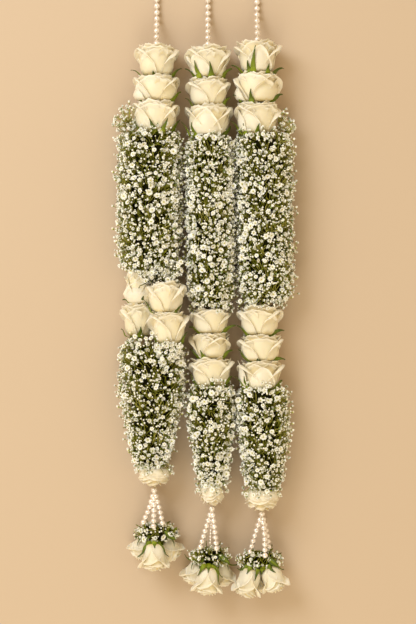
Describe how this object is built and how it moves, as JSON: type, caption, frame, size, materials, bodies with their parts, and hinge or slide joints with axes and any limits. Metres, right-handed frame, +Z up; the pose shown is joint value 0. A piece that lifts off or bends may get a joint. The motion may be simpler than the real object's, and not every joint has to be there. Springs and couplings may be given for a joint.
{
  "type": "fresh flower lei",
  "caption": "Garland lei of white rose stacks and long gypsophila sleeves on beaded strings, ending in pearl tassels with small roses, laid flat.",
  "frame": {"origin": "on the table, under the middle of the three strands and their tassels", "axes": "+Y along the strands towards the hanging loop, +Z up from the table, +X to the right across the strands"},
  "size_m": [0.2202, 0.8339, 0.0701],
  "materials": {
    "petal": "soft ivory rose petal, matt with a faint sheen",
    "cap_petal": "ruffled ivory rose petal, matt",
    "sepal": "satin green calyx, sepal and leaf",
    "gypsophila": "matt white florets over olive stems",
    "pearl": "glossy cream pearl",
    "thread": "twisted cream cotton thread"
  },
  "bodies": {
    "root": {"hanging_knot": "thread", "left_cap_rose": "cap_petal", "left_garland_thread": "thread", "left_lower_gypsophila": "gypsophila", "left_middle_back_calyx": "sepal", "left_middle_back_rose_1": "petal", "left_middle_back_rose_2": "petal", "left_middle_front_calyx": "sepal", "left_middle_front_rose_1": "petal", "left_middle_front_rose_2": "petal", "left_pearl_string": "pearl", "left_tassel_calyx": "sepal", "left_tassel_gypsophila": "gypsophila", "left_tassel_pearls": "pearl", "left_tassel_rose_1": "petal", "left_tassel_rose_2": "petal", "left_tassel_rose_3": "petal", "left_top_calyx": "sepal", "left_top_rose_1": "petal", "left_top_rose_2": "petal", "left_top_rose_3": "petal", "left_upper_gypsophila": "gypsophila", "middle_cap_rose": "cap_petal", "middle_garland_thread": "thread", "middle_lower_gypsophila": "gypsophila", "middle_middle_calyx": "sepal", "middle_middle_rose_1": "petal", "middle_middle_rose_2": "petal", "middle_middle_rose_3": "petal", "middle_pearl_string": "pearl", "middle_tassel_calyx": "sepal", "middle_tassel_gypsophila": "gypsophila", "middle_tassel_pearls": "pearl", "middle_tassel_rose_1": "petal", "middle_tassel_rose_2": "petal", "middle_tassel_rose_3": "petal", "middle_top_calyx": "sepal", "middle_top_rose_1": "petal", "middle_top_rose_2": "petal", "middle_top_rose_3": "petal", "middle_upper_gypsophila": "gypsophila", "right_cap_rose": "cap_petal", "right_garland_thread": "thread", "right_lower_gypsophila": "gypsophila", "right_middle_calyx": "sepal", "right_middle_rose_1": "petal", "right_middle_rose_2": "petal", "right_middle_rose_3": "petal", "right_pearl_string": "pearl", "right_tassel_calyx": "sepal", "right_tassel_gypsophila": "gypsophila", "right_tassel_pearls": "pearl", "right_tassel_rose_1": "petal", "right_tassel_rose_2": "petal", "right_tassel_rose_3": "petal", "right_top_calyx": "sepal", "right_top_rose_1": "petal", "right_top_rose_2": "petal", "right_top_rose_3": "petal", "right_upper_gypsophila": "gypsophila"}
  },
  "joints": []
}
